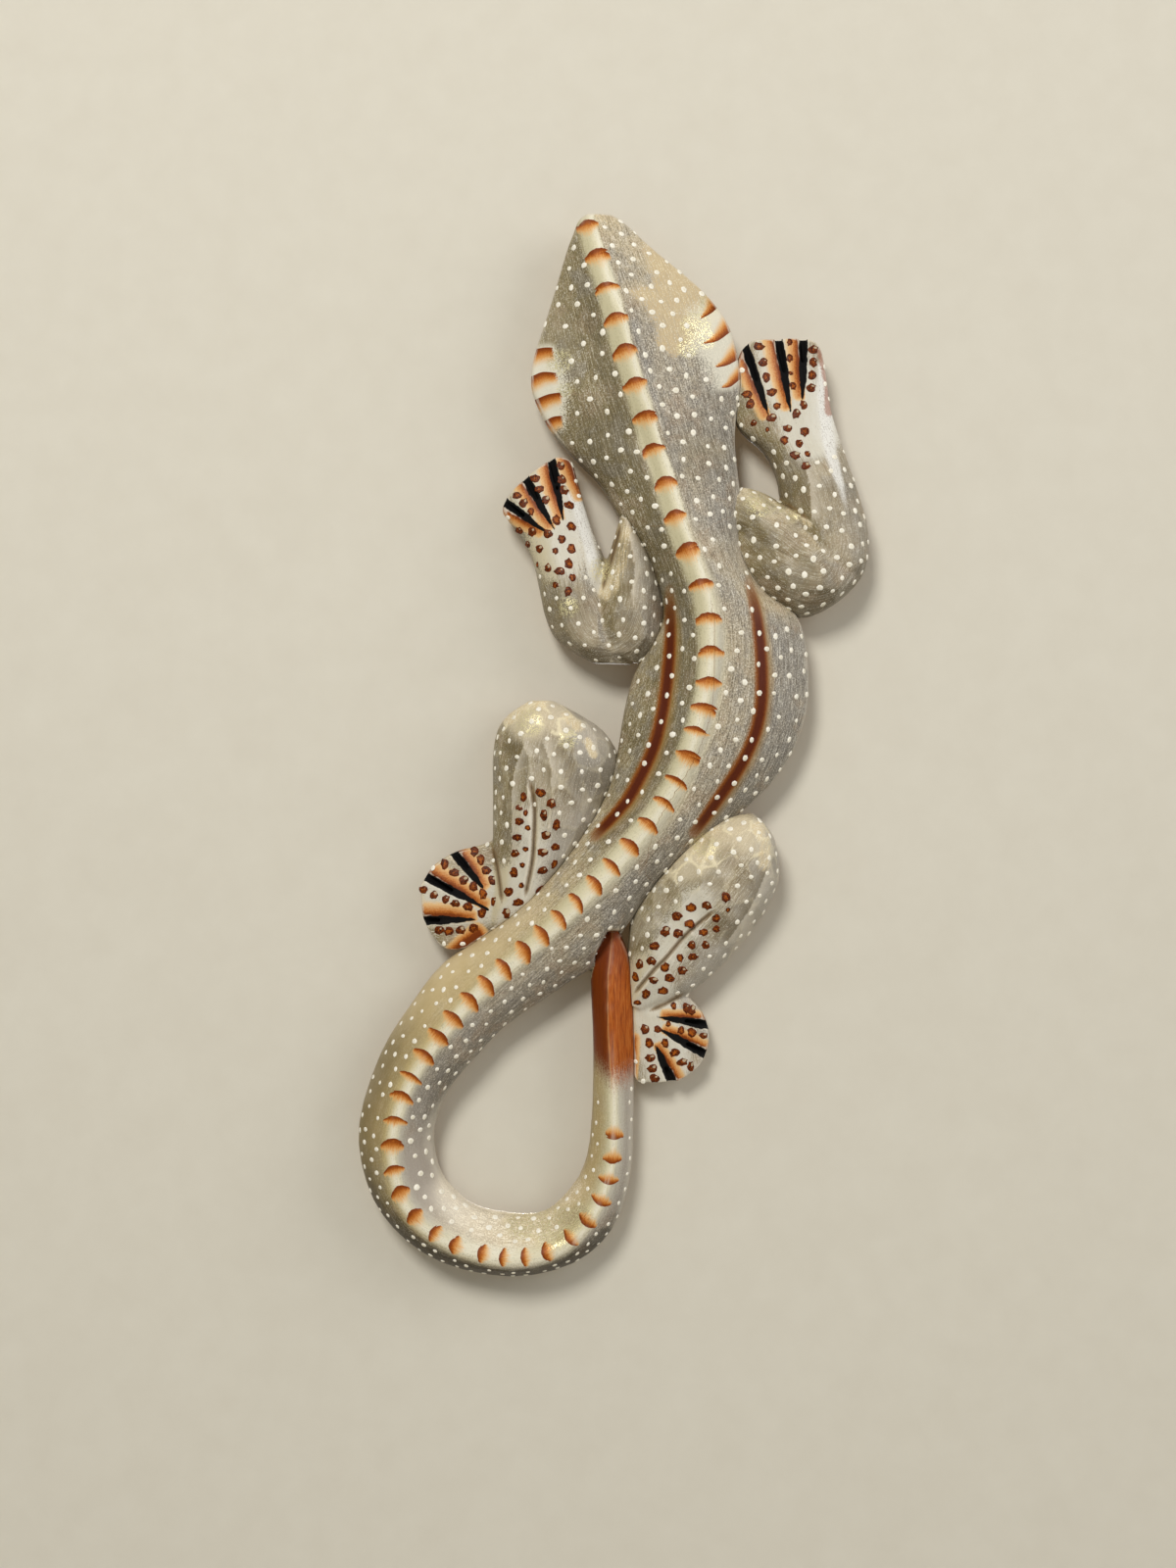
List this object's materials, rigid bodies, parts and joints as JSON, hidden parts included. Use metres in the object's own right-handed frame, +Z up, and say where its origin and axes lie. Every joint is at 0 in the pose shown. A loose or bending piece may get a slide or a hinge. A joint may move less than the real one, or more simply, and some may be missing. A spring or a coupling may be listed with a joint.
{
  "type": "carved gecko wall figure",
  "caption": "Flat-backed carved wooden gecko wall figure, painted with dots, bands and stripes, tail in a loop, with a hinged ring behind the head to hang it by.",
  "frame": {"origin": "On the flat back, straight behind the seat of the hook in the top of the hanging ring.", "axes": "+X to the right and +Z up as the figure hangs and is looked at, +Y out of the flat back into the wall, so the carved front faces -Y."},
  "size_m": [0.241, 0.0404, 0.4998],
  "materials": {
    "painted_wood": "painted in taupe with pearl sheen, cream spine band, orange-brown crescents and raised white dots",
    "peg_wood": "plain split bamboo",
    "strap_steel": "zinc plated",
    "screw_steel": "zinc plated",
    "ring_steel": "zinc plated"
  },
  "bodies": {
    "gecko": {"body_board": "painted_wood", "fore_leg_left": "painted_wood", "fore_leg_right": "painted_wood", "hind_leg_left": "painted_wood", "hind_leg_right": "painted_wood", "fore_leg_left_peg_1": "peg_wood", "fore_leg_left_peg_2": "peg_wood", "fore_leg_right_peg_1": "peg_wood", "fore_leg_right_peg_2": "peg_wood", "hind_leg_left_peg_1": "peg_wood", "hind_leg_left_peg_2": "peg_wood", "hind_leg_right_peg_1": "peg_wood", "hind_leg_right_peg_2": "peg_wood", "hanger_strap": "strap_steel", "hanger_screw_1": "screw_steel", "hanger_screw_2": "screw_steel"},
    "ring": {"hanger_ring": "ring_steel"}
  },
  "joints": [
    {"name": "ring_swing", "type": "hinge", "parent": "gecko", "child": "ring", "pos_m": [0, 0.00208, -0.014], "axis": [-1, 0, 0], "range_deg": [0, 165]}
  ]
}
